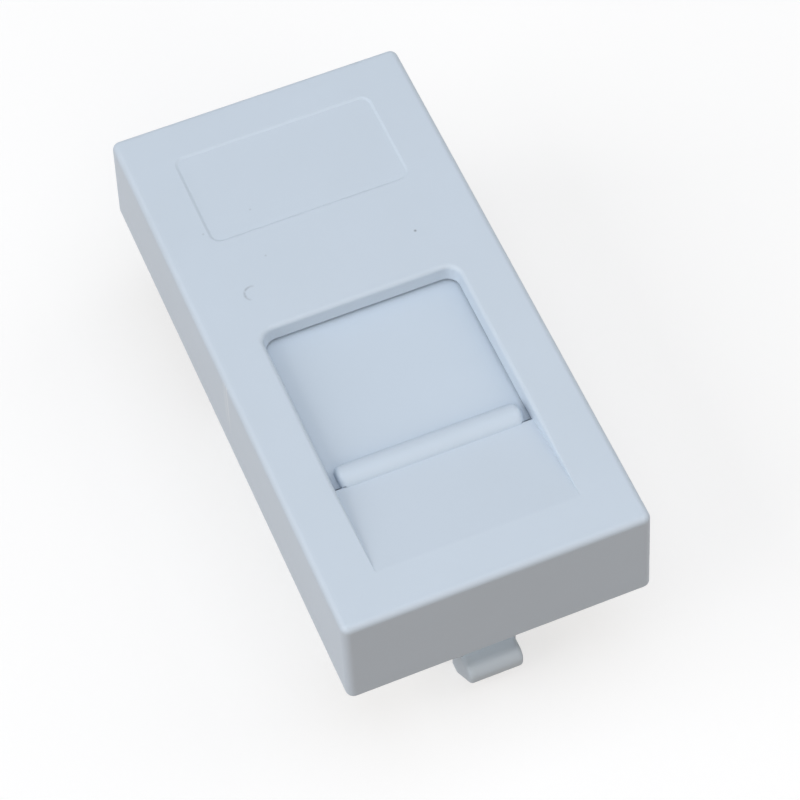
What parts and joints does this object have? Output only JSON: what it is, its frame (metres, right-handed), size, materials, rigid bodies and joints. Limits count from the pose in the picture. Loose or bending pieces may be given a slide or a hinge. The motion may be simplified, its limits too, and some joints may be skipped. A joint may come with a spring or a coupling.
{
  "type": "shuttered keystone faceplate",
  "caption": "Slim white wiring-module faceplate with a label recess, a spring-loaded sliding shutter over a keystone jack socket, a finger ramp and rear snap hooks.",
  "frame": {"origin": "middle of the plate, in the plane of the rear rims that the part lies on", "axes": "+Z out of the front face, +Y towards the label end, +X to the right when facing the front"},
  "size_m": [0.0226, 0.046, 0.0159],
  "materials": {
    "white_plate": "fine satin moulded ABS",
    "white_shutter": "smooth satin moulded ABS",
    "white_carrier": "satin moulded ABS",
    "spring_steel": "drawn stainless wire"
  },
  "bodies": {
    "housing": {"front_plate": "white_plate", "keystone_carrier": "white_carrier", "return_spring": "spring_steel"},
    "shutter_body": {"shutter": "white_shutter"}
  },
  "joints": [
    {"name": "shutter_slide", "type": "slide", "parent": "housing", "child": "shutter_body", "axis": [0, 1, 0], "range_m": [0, 0.0115], "stiffness_N_per_m": 20, "springref_m": -0.01, "deforming": ["return_spring"]}
  ]
}
